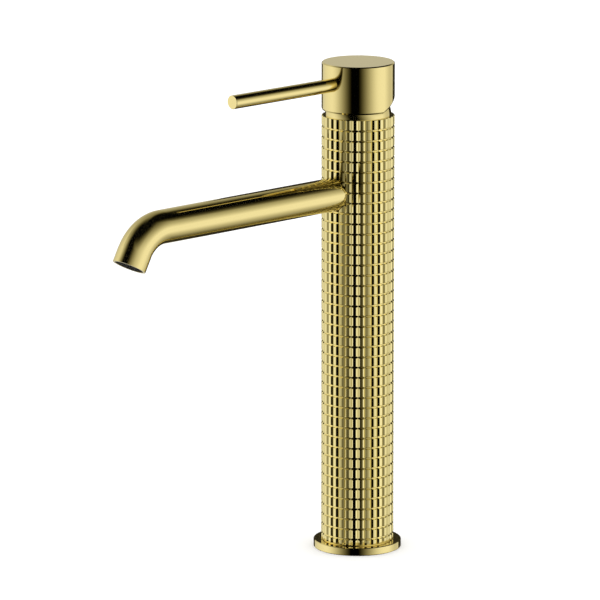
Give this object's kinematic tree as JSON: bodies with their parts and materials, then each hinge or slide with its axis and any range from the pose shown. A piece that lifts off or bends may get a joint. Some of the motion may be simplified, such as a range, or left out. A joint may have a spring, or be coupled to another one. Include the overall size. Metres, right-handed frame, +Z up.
{
  "type": "bathroom mixer faucet",
  "caption": "Tall single-lever basin mixer with a knurled round column, a long round spout bent down at its end and a plain pin lever on a drum handle.",
  "frame": {"origin": "centre of the flange's underside, which stands on the basin or worktop", "axes": "+Z up along the column, -Y towards the spout's mouth and the lever, +X to the right seen from the lever"},
  "size_m": [0.058, 0.2417, 0.3263],
  "materials": {
    "polished_gold": "polished gold-coloured plating over brass",
    "knurled_gold": "polished gold-coloured plating over machined ribs and grooves",
    "raw_brass": "bare machined brass",
    "black_rubber": "matt moulded rubber",
    "aerator_plastic": "black moulded plastic",
    "regulator_plastic": "green moulded plastic",
    "white_plastic": "off-white moulded plastic",
    "blue_plastic": "blue moulded plastic",
    "ceramic": "lapped ceramic",
    "stainless_steel": "machined stainless steel"
  },
  "bodies": {
    "faucet": {"base_flange": "polished_gold", "base_gasket": "black_rubber", "base_insert": "raw_brass", "inner_column": "raw_brass", "knurled_sleeve": "knurled_gold", "sleeve_o_rings": "black_rubber", "valve_body": "raw_brass", "spout_tube": "polished_gold", "spout_adapter": "raw_brass", "spout_o_rings": "black_rubber", "aerator_shell": "aerator_plastic", "aerator_core": "aerator_plastic", "flow_regulator": "regulator_plastic", "aerator_gasket": "black_rubber", "cartridge_base": "white_plastic", "cartridge_seals": "black_rubber", "fixed_disc": "ceramic", "cartridge_housing": "white_plastic", "cartridge_nut": "raw_brass", "dome_cover": "polished_gold", "dome_o_ring": "black_rubber"},
    "turret": {"turret": "blue_plastic", "pivot_pin": "stainless_steel"},
    "lever": {"spindle": "stainless_steel", "handle_cap": "polished_gold", "lever_rod": "polished_gold", "grub_screw": "stainless_steel"},
    "disc": {"moving_disc": "ceramic", "disc_carrier": "blue_plastic"}
  },
  "joints": [
    {"name": "temperature_swivel", "type": "hinge", "parent": "faucet", "child": "turret", "pos_m": [0, 0, 0.2905], "axis": [0, 0, 1], "range_deg": [-45, 45]},
    {"name": "flow_lift", "type": "hinge", "parent": "turret", "child": "lever", "pos_m": [0, 0, 0.2905], "axis": [-1, 0, 0], "range_deg": [0, 24]},
    {"name": "disc_slide", "type": "slide", "parent": "turret", "child": "disc", "axis": [0, -1, 0], "range_m": [0, 0.00584]}
  ],
  "couplings": [
    {"joint": "disc_slide", "follows": "flow_lift", "m_per_rad": 0.013898}
  ]
}
